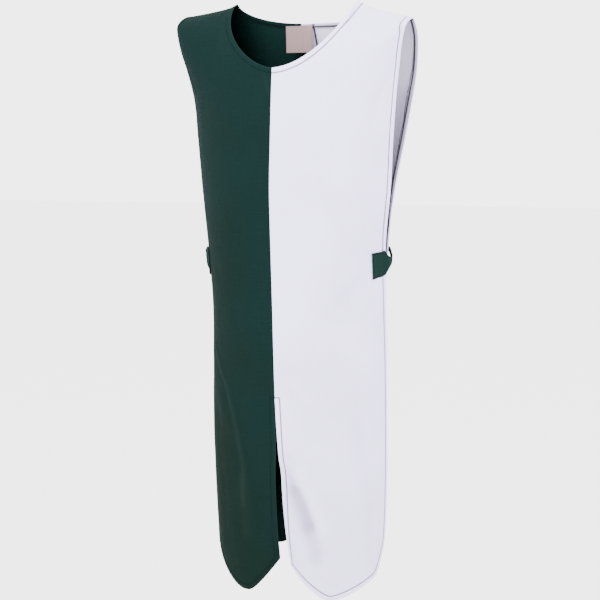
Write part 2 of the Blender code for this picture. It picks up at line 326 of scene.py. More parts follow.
# The hem of the back's armholes rolls out below the shoulders, with a hollow beside it
armRoll = {"depth": 0.0065, "reach": 0.015, "from": 0.085, "to": 0.395, "fade": 0.060}


def rollAt(face, away, drop):
    share = away / armRoll["reach"]
    within = smoothStep((drop - armRoll["from"]) / armRoll["fade"])
    within = within * smoothStep((armRoll["to"] - drop) / armRoll["fade"])
    return -armRoll["depth"] * share * np.exp(1 - share) * within * (face == "back")


def distanceTo(points, line):
    nearest = np.full(len(points), farAway)
    for start, end in zip(line[:-1], line[1:]):
        run = end - start
        length = run @ run
        if length < noLength:
            continue
        share = np.clip(((points - start) @ run) / length, 0, 1)
        away = np.linalg.norm(points - start - share[:, None] * run, axis=1)
        nearest = np.minimum(nearest, away)
    return nearest


def gridNormals(points, face):
    # they point out of the garment
    normals = np.cross(np.gradient(points, axis=1), np.gradient(points, axis=0))
    normals /= np.linalg.norm(normals, axis=-1, keepdims=True)
    return normals * faceSign[face] * np.sign(normals[..., 1].mean())


# Waves of the cloth: their height and size, how much longer they are downwards, and their shift
drape = {
    "wide": (0.0016, 0.085, 3.0, 3.1),
    "small": (0.00045, 0.030, 2.0, 7.7),
    "pucker": (0.00030, 0.0075, 1.0, 1.3),
}
# The cloth is calmer near its seams and hems, and under the straps
calm = {
    "seam": 0.035,
    "hemFrom": -0.006,
    "hem": 0.03,
    "strapDrop": 0.44,
    "strapReach": 0.035,
    "strapFrom": 0.7,
    "strapFade": 0.15,
}


def wavesAt(points, name):
    height, size, stretch, shift = drape[name]
    scaled = points / np.array([size, size, size * stretch]) + shift
    return height * np.array([noise.noise(Vector(place)) for place in scaled])


# Hems and seams: how far in they are turned and sewn, and how they shape the cloth
hem = {
    "turned": 0.0094,
    "stitchIn": 0.0088,
    "valley": 0.00055,
    "valleyWidth": 0.0011,
    "puff": 0.00035,
    "edgeRound": 0.0006,
    "edgeReach": 0.0022,
    "seamValley": 0.0007,
    "seamWidth": 0.0018,
    "seamFold": 0.001,
    "cloth": 0.0008,
    "turnedThickness": 0.0019,
    "thinsOver": 0.0012,
    "puckerReach": 0.0075,
    "puckerFade": 0.01,
    "creaseFrom": 0.006,
    "creaseFade": 0.012,
    "packedFoldShade": 0.35,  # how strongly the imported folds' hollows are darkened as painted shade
    "barDrop": 0.6585,  # the bar of stitching across the top of the slit
}

# Sewing: a line of stitches outside along each turned hem, and an overlocked edge inside it
sewing = {
    "pitch": 0.0030,
    "stitch": 0.0025,
    "radius": 0.00024,
    "sides": 6,
    "rings": 5,
    "above": 0.002,  # where the search for the cloth's outside starts, and for its inside
    "below": -0.0035,
    "barAbove": 0.004,
    "cornerShare": 0.985,
    "crossingShare": 0.9,
    "seamClear": 0.0004,
}
overlock = {
    "inset": 0.0062,
    "backSeamInset": 0.0218,
    "pitch": 0.00095,
    "stitch": 0.0034,
    "radius": 0.00030,
    "sides": 5,
    "rings": 4,
    "lean": 0.42,
}
smoothUnder = 50  # degrees between faces


def seamInset(name):
    # on the white half the centre back seam's edge line lies further from the centre, where it draws
    # a dark line beside the label
    return overlock["backSeamInset" if name == "back_white" else "inset"]


def shapeGrid(name, points, outward):
    # a grid added flat, then laid on its points with its faces outwards
    rows, columns = points.shape[0] - 1, points.shape[1] - 1
    bpy.ops.object.select_all(action="DESELECT")
    bpy.ops.mesh.primitive_grid_add(x_subdivisions=columns, y_subdivisions=rows, size=1)
    piece = bpy.context.object
    piece.name = piece.data.name = name
    places = np.empty(len(piece.data.vertices) * 3)
    piece.data.vertices.foreach_get("co", places)
    places = places.reshape(-1, 3)
    column = np.rint((places[:, 0] + 0.5) * columns).astype(int)
    if outward < 0:
        column = columns - column
    row = np.rint((0.5 - places[:, 1]) * rows).astype(int)
    index = row * (columns + 1) + column
    piece.data.vertices.foreach_set("co", points.reshape(-1, 3)[index].reshape(-1))
    return piece, index


def setFlat(mesh, index, flat, values):
    # where each place lies on the flat cloth, and the values that the materials read
    loopVertex = np.empty(len(mesh.loops), dtype=int)
    mesh.loops.foreach_get("vertex_index", loopVertex)
    mesh.uv_layers.active.name = "flat"
    mesh.uv_layers.active.data.foreach_set("uv", flat.reshape(-1, 2)[index][loopVertex].reshape(-1))
    for kind, numbers in values.items():
        attribute = mesh.attributes.new(kind, "FLOAT", "POINT")
        attribute.data.foreach_set("value", numbers.reshape(-1)[index])


def addWall(piece, thickness, settings=None):
    wall = piece.modifiers.new("wall", "SOLIDIFY")
    wall.thickness = thickness
    wall.offset = -1
    for key, value in (settings or {}).items():
        setattr(wall, key, value)
    bpy.ops.object.modifier_apply(modifier="wall")
    bpy.ops.object.shade_smooth_by_angle(angle=math.radians(smoothUnder))


def treeOf(mesh):
    return BVHTree.FromPolygons(
        [vertex.co.copy() for vertex in mesh.vertices], [tuple(f.vertices) for f in mesh.polygons]
    )


def nearestOn(tree, spots):
    # the nearest places on the cloth, their run, and the way the cloth faces there
    hits = [tree.find_nearest(Vector(spot)) for spot in spots]
    found, facing = (np.array([hit[part] for hit in hits]) for part in (0, 1))
    return found, np.gradient(found, axis=0), facing


clothMeshes = {}  # what the sewing needs of each half: its tree for placing thread and its edges


def makeHalf(name):
    half = halves[name]
    face, side = half["face"], half["side"]
    even, shares = acrossPlaces(), rowPlaces()
    topAcross, topDrop, neckCells = topEdge(face, side, len(even) - 1)
    settle = smoothStep(shares / warp["settledBy"])[:, None]
    across = topAcross + (even - topAcross) * settle
    drop = topDrop + (hemDrop(half, across) - topDrop) * shares[:, None]
    base = panelPoint(face, side, across, drop)
    bigFolds = foldHeight(name, across, drop, packedFolds) * (1 - across ** cut["foldFade"])
    base[..., 1] += faceSign[face] * bigFolds
    base[..., 0] *= side
    normals = gridNormals(base, face)

    points, flatDrop = base.reshape(-1, 3), drop.reshape(-1)
    slitRow = int(np.argmax(drop[:, 0] > cut["slitTop"]))
    edges = {
        "neck": base[0, : neckCells + 1],
        "shoulder": base[0, neckCells:],
        "side": base[:, -1],
        "hem": base[-1],
        "slit": base[slitRow:, 0],
        "centre": base[: slitRow + 1, 0],
    }
    away = {key: distanceTo(points, line) for key, line in edges.items()}
    toCentre = np.minimum(away["slit"], away["centre"])
    slitAway = np.maximum(toCentre, hem["barDrop"] + hem["stitchIn"] - flatDrop)
    free = np.minimum.reduce([away["neck"], away["side"], away["hem"], slitAway])
    seam = np.minimum(away["shoulder"], away["centre"])

    relief = -hem["valley"] * bell(free - hem["stitchIn"], hem["valleyWidth"])
    relief += hem["puff"] * np.sin(math.pi * np.clip(free / hem["stitchIn"], 0, 1))
    relief -= hem["edgeRound"] * edgeFall(free, hem["edgeReach"])
    relief -= hem["seamValley"] * bell(seam, hem["seamWidth"])
    puckered = bell(free - hem["stitchIn"], hem["puckerReach"])
    puckered *= smoothStep(seam / hem["puckerFade"])
    relief += wavesAt(points, "pucker") * puckered
    calmed = smoothStep(seam / calm["seam"]) * smoothStep((free - calm["hemFrom"]) / calm["hem"])
    underStrap = bell(flatDrop - calm["strapDrop"], calm["strapReach"]) * smoothStep(
        (across.reshape(-1) - calm["strapFrom"]) / calm["strapFade"]
    )
    crease = foldHeight(name, across, drop, creases).reshape(-1)
    crease *= smoothStep((free - hem["creaseFrom"]) / hem["creaseFade"])
    waves = wavesAt(points, "wide") + wavesAt(points, "small")
    relief += (waves * calmed + crease) * (1 - underStrap)
    relief += rollAt(face, away["side"], flatDrop)
    outer = base + normals * (cut["wall"] + relief).reshape(drop.shape)[..., None]

    piece, index = shapeGrid(name + "_cloth", outer, -side * faceSign[face])
    mesh = piece.data
    # hollow, the depth of the folds, is what the materials paint as shade in the hollows and as a
    # highlight on the ridges
    setFlat(mesh, index, np.stack([across * cut["panelWidth"] * side, -drop], axis=-1), {
        "hemAway": free,
        "seamEdgeAway": np.minimum(
            away["shoulder"] - overlock["inset"], away["centre"] - seamInset(name)
        ),
        "hollow": -(crease + np.minimum(bigFolds.reshape(-1), 0) * hem["packedFoldShade"]),
    })
    nearFold = np.minimum(free, seam + hem["seamFold"])
    thick = 1 - smoothStep((nearFold - hem["turned"]) / hem["thinsOver"])
    group = piece.vertex_groups.new(name="turned")
    for vertex, weight in enumerate(thick[index]):
        group.add([vertex], float(weight), "REPLACE")
    mesh.materials.append(materials[half["cloth"]])
    mesh.materials.append(materials[half["cloth"].replace("Cotton", "Inside")])
    addWall(piece, hem["turnedThickness"], {
        "vertex_group": "turned",
        "thickness_vertex_group": hem["cloth"] / hem["turnedThickness"],
        "material_offset": 1,
    })
    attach(piece, "root")
    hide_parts(name)
    clothMeshes[name] = {
        "tree": treeOf(mesh), "base": base, "normals": normals, "edges": edges,
        "slitRow": slitRow, "neckCells": neckCells,
    }
    print("made", name, len(mesh.polygons), "faces")
    return piece


def threadShape(name, thread):
    # one stitch: a slim oval of thread along Z
    bpy.ops.object.select_all(action="DESELECT")
    bpy.ops.mesh.primitive_uv_sphere_add(
        segments=thread["sides"], ring_count=thread["rings"], radius=thread["radius"]
    )
    shape = bpy.context.object
    shape.name = name
    bpy.ops.object.mode_set(mode="EDIT")
    bpy.ops.mesh.select_all(action="SELECT")
    bpy.ops.transform.resize(value=(1, 1, thread["stitch"] / 2 / thread["radius"]))
    bpy.ops.object.mode_set(mode="OBJECT")
    points = np.array([vertex.co for vertex in shape.data.vertices])
    faces = [tuple(face.vertices) for face in shape.data.polygons]
    bpy.data.objects.remove(shape, do_unlink=True)
    return points, faces


def copyThreads(name, shape, lines, material):
    # each stitch is a copy of the one shape, turned along its line and sunk a little in the cloth
    points, faces = shape
    centres, alongs, normals = (np.concatenate([line[part] for line in lines]) for part in range(3))
    alongs = alongs / np.linalg.norm(alongs, axis=1, keepdims=True)
    sideways = np.cross(normals, alongs)
    sideways /= np.linalg.norm(sideways, axis=1, keepdims=True)
    upwards = np.cross(alongs, sideways)
    placed = (
        centres[:, None, :]
        + points[None, :, 0, None] * sideways[:, None, :]
        + points[None, :, 1, None] * upwards[:, None, :]
        + points[None, :, 2, None] * alongs[:, None, :]
    )
    made = []
    for count in range(len(centres)):
        first = count * len(points)
        made.extend(tuple(first + corner for corner in face) for face in faces)
    mesh = bpy.data.meshes.new(name)
    mesh.from_pydata(placed.reshape(-1, 3).tolist(), [], made)
    mesh.materials.append(material)
    piece = bpy.data.objects.new(name, mesh)
    bpy.context.scene.collection.objects.link(piece)
    bpy.ops.object.select_all(action="DESELECT")
    piece.select_set(True)
    bpy.context.view_layer.objects.active = piece
    bpy.ops.object.shade_smooth()
    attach(piece, "root")
    print("sewed", name, len(centres), "stitches")


inwardRows = {"shoulder": 12, "hem": -20}  # rows that lie further in than these edges
neckLook = (0, 0, 0.03)  # just above the neck opening: the cloth lies away from it


def edgeLine(name, key):
    # an edge of a half, its normals, and the way from it into the cloth
    cloth = clothMeshes[name]
    base, slitRow, neckCells = (cloth[part] for part in ("base", "slitRow", "neckCells"))
    rows, columns = {
        "neck": (0, slice(0, neckCells + 1)),
        "shoulder": (0, slice(neckCells, None)),
        "side": (slice(None), -1),
        "hem": (-1, slice(None)),
        "slit": (slice(slitRow - 1, None), 0),
        "centre": (slice(0, slitRow + 1), 0),
    }[key]
    line, normal = base[rows, columns], cloth["normals"][rows, columns]
    if key == "neck":
        inward = line * [1, 0, 1] - neckLook
    elif key in inwardRows:
        inward = base[inwardRows[key], columns] - line
    else:
        inward = base[rows, base.shape[1] // 2] - line
    run = np.gradient(line, axis=0)
    run /= np.linalg.norm(run, axis=1, keepdims=True)
    into = np.cross(normal, run)
    into /= np.linalg.norm(into, axis=1, keepdims=True)
    into *= np.sign((into * inward).sum(axis=1))[:, None]
    return line, normal, into


def sewLine(name, key, inset, step, inside):
    # places evenly along a line at an even inset from an edge, with their run and normals
    cloth = clothMeshes[name]
    line, normal, into = edgeLine(name, key)
    middle = line + into * inset
    openEdges = ("neck", "side", "hem", "slit")
    clear = dict.fromkeys(openEdges, overlock["inset"] * sewing["crossingShare"])
    if key in openEdges:
        clear = dict.fromkeys(openEdges, inset * sewing["cornerShare"])
        if inside:
            clear.update(shoulder=sewing["seamClear"], centre=sewing["seamClear"])
    kept = np.ones(len(middle), dtype=bool)
    for other, least in clear.items():
        kept &= distanceTo(middle, cloth["edges"][other]) > least
    middle, normal = middle[kept], normal[kept]
    lengths = np.concatenate([[0], np.cumsum(np.linalg.norm(np.diff(middle, axis=0), axis=1))])
    places = np.arange(step / 2, lengths[-1], step)
    spots, ups = (np.stack([np.interp(places, lengths, part[:, axis]) for axis in range(3)], axis=1)
                  for part in (middle, normal))
    start = sewing["below"] if inside else hem["edgeRound"] + cut["wall"] + sewing["above"]
    lift = np.full(len(spots), start)
    if key == "side":
        lift += rollAt(halves[name]["face"], inset, -spots[:, 2])
    return nearestOn(cloth["tree"], spots + ups * lift[:, None])


def barLine(name, step):
    # the bar of stitches across the top of the slit, from its stitched line to the centre seam
    half = halves[name]
    places = np.arange(step / 2, hem["stitchIn"], step) / cut["panelWidth"]
    drops = np.full(len(places), hem["barDrop"])
    spots = panelPoint(half["face"], half["side"], places, drops) * [half["side"], 1, 1]
    spots[:, 1] += faceSign[half["face"]] * sewing["barAbove"]
    return nearestOn(clothMeshes[name]["tree"], spots)


def sewHalf(name):
    half = halves[name]
    lines = [sewLine(name, key, hem["stitchIn"], sewing["pitch"], False)
             for key in ("neck", "side", "hem", "slit")]
    lines.append(barLine(name, sewing["pitch"]))
    thread = materials["greenThread" if half["cloth"] == "greenCotton" else "whiteThread"]
    shape = threadShape("stitchShape", sewing)
    copyThreads(name + "_stitches", shape, lines, thread)

    insets = dict.fromkeys(("neck", "side", "hem", "slit", "shoulder"), overlock["inset"])
    insets["centre"] = seamInset(name)
    legs = []
    for key, inset in insets.items():
        found, runs, facing = sewLine(name, key, inset, overlock["pitch"], True)
        runs = runs / np.linalg.norm(runs, axis=1, keepdims=True)
        lean = np.where(np.arange(len(found)) % 2, 1, -1)[:, None] * overlock["lean"]
        legs.append((found, np.cross(facing, runs) + runs * lean, facing))
    thread = materials["greenOverlock" if half["cloth"] == "greenCotton" else "overlockThread"]
    shape = threadShape("overlockShape", overlock)
    copyThreads(name + "_overlock", shape, legs, thread)


# Side straps: a folded band of cotton, sewn on at both ends and bunched where it turns the side
strap = {
    "sewnAt": 0.825,
    "thickness": 0.0022,
    "seat": 0.0002,
    "cells": (84, 26),
    "bunch": 0.0003,
    "bunches": 2.5,
    "bunchReach": 0.20,
    "valley": 0.0004,
    "valleyWidth": 0.0008,
    "edgeRound": 0.0007,
    "edgeReach": 0.0012,
    "eased": 3,
    "easeReach": 0.12,
    "aside": 0.02,  # how far back along the half its run is looked up
    "length": 0.080,
    "width": 0.045,
    "stitchIn": 0.0030,
    "pitch": 0.0026,
    "stitch": 0.0021,
    "radius": 0.00020,
    "sides": 6,
    "rings": 5,
    "sewnTo": 0.34,  # the shares of its length where the long lines end and the boxes close
    "boxTo": 0.20,
    "boxTop": 0.09,
    "boxBottom": 0.93,
}
strapNames = ("along", "top", "bottom", "out")
strapRows = (
    (0.00, 0.4182, 0.4626, 0.0000),
    (0.20, 0.4168, 0.4595, 0.0000),
    (0.36, 0.4155, 0.4575, 0.0000),
    (0.42, 0.4150, 0.4555, 0.0014),
    (0.46, 0.4215, 0.4500, 0.0044),
    (0.50, 0.4262, 0.4400, 0.0068),
    (0.56, 0.4190, 0.4290, 0.0052),
    (0.64, 0.4100, 0.4190, 0.0022),
    (0.72, 0.4095, 0.4185, 0.0000),
    (0.84, 0.4090, 0.4350, 0.0000),
    (1.00, 0.4095, 0.4535, 0.0000),
)


def makeStrap(name, side):
    columns, rows = strap["cells"]
    along, down = np.meshgrid(np.linspace(0, 1, columns + 1), np.linspace(0, 1, rows + 1))
    top, bottom, stand = (columnAt(strapRows, strapNames, part, along) for part in strapNames[1:])
    drop = top + (bottom - top) * down
    across = strap["sewnAt"] + (1 - strap["sewnAt"]) * (1 - np.abs(2 * along - 1))
    near, out = np.empty(along.shape + (3,)), np.empty(along.shape + (3,))
    for face in ("front", "back"):
        spot = panelPoint(face, side, across, drop)
        run = (spot - panelPoint(face, side, across - strap["aside"], drop)) * -faceSign[face]
        way = np.stack([run[..., 1], -run[..., 0], np.zeros_like(run[..., 0])], axis=-1)
        way /= np.linalg.norm(way, axis=-1, keepdims=True)
        here = along < 0.5 if face == "front" else along >= 0.5
        near[here], out[here] = spot[here], way[here]
    bunch = strap["bunch"] * np.cos(2 * math.pi * strap["bunches"] * down)
    bunch *= bell(along - 0.5, strap["bunchReach"])
    length = strap["length"]
    fromEdge = np.minimum(down, 1 - down) * (bottom - top)
    fromBorder = np.minimum(fromEdge, np.minimum(along, 1 - along) * length)
    rise = cut["wall"] + strap["seat"] + strap["thickness"] + np.maximum(stand, 0) + bunch
    rise -= strap["valley"] * bell(fromBorder - strap["stitchIn"], strap["valleyWidth"])
    rise -= strap["edgeRound"] * edgeFall(fromBorder, strap["edgeReach"])
    points = near + out * rise[..., None]
    for _ in range(strap["eased"]):  # eases the turn round the side
        eased = points.copy()
        eased[:, 1:-1] = (points[:, :-2] + 2 * points[:, 1:-1] + points[:, 2:]) / 4
        points = points + (eased - points) * bell(along - 0.5, strap["easeReach"])[..., None]
    points[..., 0] *= side
    piece, index = shapeGrid(name + "_band", points, side)
    flat = np.stack([along * length, -down * strap["width"]], axis=-1)
    setFlat(piece.data, index, flat, {"hemAway": fromBorder})
    addWall(piece, strap["thickness"])
    piece.data.materials.append(materials["strapCotton"])
    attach(piece, "root")
    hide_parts(name)

    # its stitches: along both long edges, and a box at each sewn end
    inset = strap["stitchIn"] / length
    lines = []
    for level in ("top", "bottom"):
        for first, last in ((inset, strap["sewnTo"]), (1 - strap["sewnTo"], 1 - inset)):
            shares = np.arange(first, last, strap["pitch"] / length)
            lines.append([(share, level) for share in shares])
    levels = np.arange(strap["boxTop"], strap["boxBottom"], strap["pitch"] / strap["width"])
    for end in (inset, strap["boxTo"], 1 - strap["boxTo"], 1 - inset):
        lines.append([(end, level) for level in levels])
    tree = treeOf(piece.data)
    sewn = []
    for line in lines:
        spots = []
        for share, level in line:
            high, low = (columnAt(strapRows, strapNames, part, share) for part in ("top", "bottom"))
            if level in ("top", "bottom"):
                fromTop = strap["stitchIn"] / (low - high)
                level = fromTop if level == "top" else 1 - fromTop
            row, column = level * rows, share * columns
            above, left = min(int(row), rows - 1), min(int(column), columns - 1)
            corner = points[above, left]
            corner = corner + (points[above + 1, left] - points[above, left]) * (row - above)
            corner = corner + (points[above, left + 1] - points[above, left]) * (column - left)
            spots.append(corner)
        found, _, facing = nearestOn(tree, spots)
        sewn.append((found, np.gradient(np.array(spots), axis=0), facing))
    shape = threadShape("strapStitch", strap)
    copyThreads(name + "_stitches", shape, sewn, materials["greenThread"])


# Neck label: a bare square of woven tape, sewn by its top edge inside the back neck
label = {
    "width": 0.049,
    "top": 0.038,
    "height": 0.045,
    "thickness": 0.0006,
    "seat": 0.0006,
    "centreX": -0.004,
    "lean": 0.15,
    "lift": 0.0050,  # its wearer's left side stands off the cloth
    "cells": 40,
    "wave": 0.0006,
    "waves": 5.2,
    "waveFrom": 0.6,
    "cup": 0.0012,
    "cupAt": 0.3,
    "pitch": 0.0026,
    "stitch": 0.0020,
    "radius": 0.00018,
    "sides": 6,
    "rings": 5,
    "stitchSeat": 0.0007,
    "stitchIn": 0.0022,
    "sewnFrom": 0.05,
    "sewnTo": 0.96,
}


def makeLabel():
    even = np.linspace(0, 1, label["cells"] + 1)
    over, down = np.meshgrid(even, even)
    top = panelPoint("back", 1, np.array(0.0), np.array(label["top"]))
    low = panelPoint("back", 1, np.array(0.0), np.array(label["top"] + label["height"]))
    x = label["centreX"] + label["width"] * (0.5 - over)
    y = top[1] - label["seat"] + (low[1] - top[1]) * label["lean"] * down
    y = y + label["wave"] * np.sin(over * label["waves"] + label["waveFrom"]) * down
    y = y - label["cup"] * down**3 * (over - label["cupAt"]) ** 2
    y = y - label["lift"] * (1 - over) ** 3 * np.sqrt(down)
    z = -label["top"] - label["height"] * down
    piece, index = shapeGrid("neck_label_tape", np.stack([x, y, z], axis=-1), 1)
    fromBorder = np.minimum.reduce([over, 1 - over, down, 1 - down]) * label["width"]
    flat = np.stack([over, -down], axis=-1) * label["width"]
    setFlat(piece.data, index, flat, {"hemAway": fromBorder})
    addWall(piece, label["thickness"])
    piece.data.materials.append(materials["labelTape"])
    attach(piece, "root")
    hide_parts("neck_label")
    share = np.arange(label["sewnFrom"], label["sewnTo"], label["pitch"] / label["width"])
    centres = np.stack([
        label["centreX"] + label["width"] * (0.5 - share),
        np.full(len(share), top[1] - label["stitchSeat"]),
        np.full(len(share), -label["top"] - label["stitchIn"]),
    ], axis=1)
    runs, facing = (np.tile(way, (len(share), 1)) for way in ([1.0, 0, 0], [0, -1.0, 0]))
    shape = threadShape("labelStitch", label)
    copyThreads("neck_label_stitches", shape, [(centres, runs, facing)],
                materials["labelThread"])


# Studio: even soft light on a plain pale floor. Each light has a place, an aim, a size and a
# power.
studio = {
    "world": 4.4,
    "floorZ": -1.45,
    "floorSize": 60,
    "floorTone": (0.9, 0.9, 0.9, 1),
    "floorRoughness": 0.9,
}
lights = {
    "keyLight": ((-0.9, -2.8, 2.2), (0, 0, -0.30), (1.4, 1.4), 170),
    "fillLight": ((2.6, -2.4, 0.4), (0, 0, -0.5), (2.0, 2.6), 30),
}


def addLight(name):
    place, aim, size, power = lights[name]
    data = bpy.data.lights.new(name, "AREA")
    data.shape = "RECTANGLE"
    data.size, data.size_y = size
    data.energy = power
    light = bpy.data.objects.new(name, data)
    light.location = place
    light.rotation_euler = (Vector(aim) - Vector(place)).to_track_quat("-Z", "Y").to_euler()
    bpy.context.scene.collection.objects.link(light)


def addStudio():
    world = bpy.data.worlds.new("studioWorld")
    world.use_nodes = True
    background = world.node_tree.nodes["Background"]
    background.inputs["Color"].default_value = (1, 1, 1, 1)
    background.inputs["Strength"].default_value = studio["world"]
    bpy.context.scene.world = world
    for name in lights:
        addLight(name)
    bpy.ops.object.select_all(action="DESELECT")
    bpy.ops.mesh.primitive_plane_add(size=studio["floorSize"], location=(0, 0, studio["floorZ"]))
    floor = bpy.context.object
    floor.name = "studioFloor"
    bpy.ops.object.transform_apply(location=True, rotation=True, scale=True)
    material = bpy.data.materials.new("paleFloor")
    material.use_nodes = True
    shader = material.node_tree.nodes["Principled BSDF"]
    shader.inputs["Base Color"].default_value = studio["floorTone"]
    shader.inputs["Roughness"].default_value = studio["floorRoughness"]
    floor.data.materials.append(material)


def setSocket(tree, socket, value):
    if isinstance(value, bpy.types.NodeSocket):
        tree.links.new(value, socket)
    else:
        socket.default_value = value


def addNode(tree, kind, settings=None, inputs=None):
    made = tree.nodes.new(kind)
    for name, value in (settings or {}).items():
        setattr(made, name, value)
    for name, value in (inputs or {}).items():
        setSocket(tree, made.inputs[name], value)
    return made


def calculate(tree, operation, *values, clamp=False):
    made = addNode(tree, "ShaderNodeMath", {"operation": operation, "use_clamp": clamp})
    for socket, value in zip(made.inputs, values):
        setSocket(tree, socket, value)
    return made.outputs[0]


def rescale(tree, value, source, target=(0.0, 1.0), **settings):
    made = addNode(tree, "ShaderNodeMapRange", settings, {
        "Value": value, "From Min": source[0], "From Max": source[1],
        "To Min": target[0], "To Max": target[1],
    })
    return made.outputs["Result"]


def mixColours(tree, kind, amount, first, second):
    mix = addNode(tree, "ShaderNodeMix", {"data_type": "RGBA", "blend_type": kind})
    for socket, value in ((mix.inputs[0], amount), (mix.inputs[6], first), (mix.inputs[7], second)):
        setSocket(tree, socket, (*value, 1) if isinstance(value, tuple) else value)
    return mix.outputs[2]


def tint(tree, colour, share, tone):
    return mixColours(tree, "MIX", share, colour, mixColours(tree, "MULTIPLY", 1.0, colour, tone))


def addBump(tree, height, distance, normal=None):
    inputs = {"Height": height, "Distance": distance, "Strength": 1.0}
    if normal is not None:
        inputs["Normal"] = normal
    return addNode(tree, "ShaderNodeBump", None, inputs).outputs["Normal"]


def newMaterial(name, roughness, specular):
    material = bpy.data.materials.new(name)
    material.use_nodes = True
    shader = material.node_tree.nodes["Principled BSDF"]
    shader.inputs["Roughness"].default_value = roughness
    shader.inputs["Specular IOR Level"].default_value = specular
    return material, material.node_tree, shader


# Cotton: its tones at the top and at the hem, how it shines, and how its hems show, with painted
# shade in the troughs of its folds and a painted highlight on their ridges. The inside shows the
# dark overlocked line on its turned hems. What a cloth doesn't say is as in plainCloth.
plainCloth = {
    "toneTo": -1.0, "slitShare": 1.0, "sideShade": 1.0, "seamLine": False,
    "trough": (1.0, 1.0, 1.0), "ridgeHighlight": (1.0, 1.0, 1.0),
    "edgeWidth": 0.0018, "yarn": 0.10, "weave": 0.00010,
}
cottons = {
    "greenCotton": {
        "tone": (0.0030, 0.0100, 0.0094), "otherTone": (0.0030, 0.0082, 0.0064),
        "toneTo": -0.8, "slitShare": 0.3,
        "trough": (0.70, 0.70, 0.70), "ridgeHighlight": (1.80, 1.30, 1.40),
        "line": (0.74, 0.74, 0.74), "lineAt": 0.0088, "lineWidth": 0.0012,
        "edge": (1.9, 1.7, 1.7), "roughness": 0.88, "specular": 0.02,
    },
    "greenInside": {
        # its tones are lighter than the outside's: painted light on the inside of the garment; it is
        # also darkened away from the centre seam as painted shadow
        "tone": (0.0050, 0.0170, 0.0155), "otherTone": (0.0046, 0.0140, 0.0120),
        "sideShade": 0.07, "seamLine": True,
        "trough": (0.80, 0.80, 0.80), "ridgeHighlight": (1.10, 1.10, 1.10),
        "line": (0.40, 0.40, 0.40), "lineAt": 0.0062, "lineWidth": 0.0022,
        "edge": (1.3, 1.2, 1.2), "roughness": 0.90, "specular": 0.0,
    },
    "whiteCotton": {
        # its tone darkens from the top towards the hem as painted shade, where the light falls off
        # downwards
        "tone": (0.710, 0.650, 0.970), "otherTone": (0.560, 0.515, 0.740),
        "trough": (0.60, 0.60, 0.60), "ridgeHighlight": (1.10, 1.10, 1.10),
        "line": (0.13, 0.12, 0.17), "lineAt": 0.0088, "lineWidth": 0.0018,
        "edge": (0.95, 0.95, 0.96), "roughness": 0.85, "specular": 0.10, "yarn": 0.03,
    },
    "whiteInside": {
        "tone": (0.790, 0.735, 0.960), "otherTone": (0.620, 0.580, 0.750),
        # it is darkened away from the centre seam, inside the armholes, as painted shade
        "sideShade": 0.5, "seamLine": True,
        "trough": (0.80, 0.80, 0.80), "ridgeHighlight": (1.10, 1.10, 1.10),
        "line": (0.018, 0.018, 0.014), "lineAt": 0.0062, "lineWidth": 0.0034,
        "edge": (1.1, 1.1, 1.1), "roughness": 0.90, "specular": 0.05, "yarn": 0.03,
    },
    "strapCotton": {
        "tone": (0.0046, 0.0146, 0.0124), "otherTone": (0.0050, 0.0140, 0.0122),
        "line": (0.80, 0.80, 0.80), "lineAt": 0.0030, "lineWidth": 0.0009,
        "edge": (1.30, 0.76, 1.10), "edgeWidth": 0.0052,
        "roughness": 0.85, "specular": 0.03, "weave": 0.00012,
    },
    "labelTape": {
        "tone": (0.215, 0.145, 0.150), "otherTone": (0.230, 0.158, 0.160),
        "line": (0.90, 0.90, 0.90), "lineAt": 0.0022, "lineWidth": 0.0008,
        "edge": (0.78, 0.74, 0.75),
        "roughness": 0.60, "specular": 0.20, "yarn": 0.05, "weave": 0.00008,
    },
}
# How all cloths are patterned. The textures' own settings are kept under their sockets' names.
pattern = {
    "toneFrom": -0.12,  # the height from which the tone changes downwards
    "patches": {"Scale": 7.0, "Detail": 2.0, "Roughness": 0.5},
    "patchRange": (0.35, 0.65),
    "patchShare": (-0.3, 0.3),
    "slitRange": (0.0, 0.085),
    "sideRange": (0.035, 0.110),
    # a fold this deep gets its full painted shade, a ridge this high its full painted highlight
    "shadeFullAt": 0.0080,
    "highlightFullAt": -0.0022,
    "yarns": ((1400.0, 22.0, 1.0), (22.0, 1400.0, 1.0)),
    "yarnRange": (0.6, 1.4),
    "yarnHeight": 0.00012,
    "foldFrom": 0.0004,
    "weave": {"Scale": 300.0, "Distortion": 0.6, "Detail": 1.0, "Detail Scale": 0.4},
    "rumple": {"Scale": 55.0, "Detail": 3.0, "Roughness": 0.55},
    "rumpleHeight": 0.0016,
}
smooth = {"interpolation_type": "SMOOTHSTEP"}


